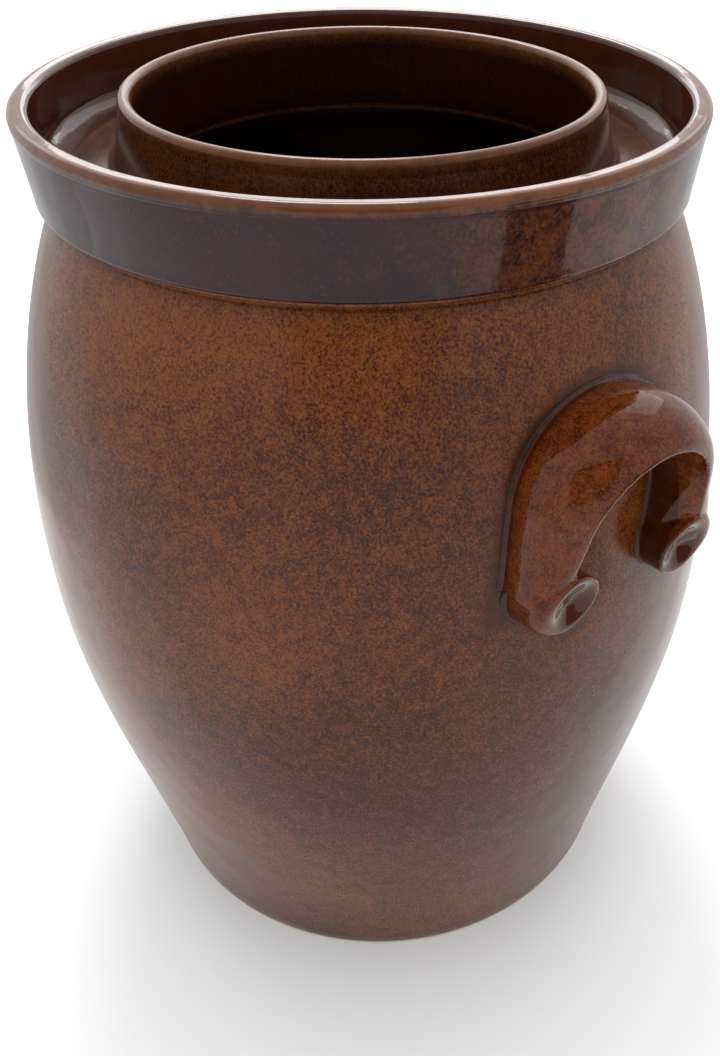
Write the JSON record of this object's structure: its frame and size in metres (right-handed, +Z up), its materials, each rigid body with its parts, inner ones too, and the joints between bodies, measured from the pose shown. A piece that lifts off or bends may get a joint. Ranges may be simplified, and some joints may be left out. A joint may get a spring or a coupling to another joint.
{
  "type": "ceramic crock fermenter",
  "caption": "Open stoneware fermenting crock with a water gutter round its neck, ear handles and half-moon weight stones that lift out through the mouth.",
  "frame": {"origin": "centre of the foot, on the surface the crock stands on", "axes": "+Z up along the crock's axis; the handles are at +X and -X"},
  "size_m": [0.295, 0.2658, 0.332],
  "materials": {
    "brown_glaze": "glossy speckled brown glaze",
    "dark_glaze": "glossy purple-brown glaze",
    "bare_stoneware": "matte unglazed stoneware"
  },
  "bodies": {
    "crock": {"crock_body": "brown_glaze", "gutter_ring": "dark_glaze", "handle_right": "brown_glaze", "handle_left": "brown_glaze"},
    "stone_front": {"weight_stone_front": "bare_stoneware"},
    "stone_back": {"weight_stone_back": "bare_stoneware"}
  },
  "joints": [
    {"name": "stone_front_lift", "type": "slide", "parent": "crock", "child": "stone_front", "axis": [0, 0, 1], "range_m": [0, 0.335]},
    {"name": "stone_back_lift", "type": "slide", "parent": "crock", "child": "stone_back", "axis": [0, 0, 1], "range_m": [0, 0.335]}
  ]
}
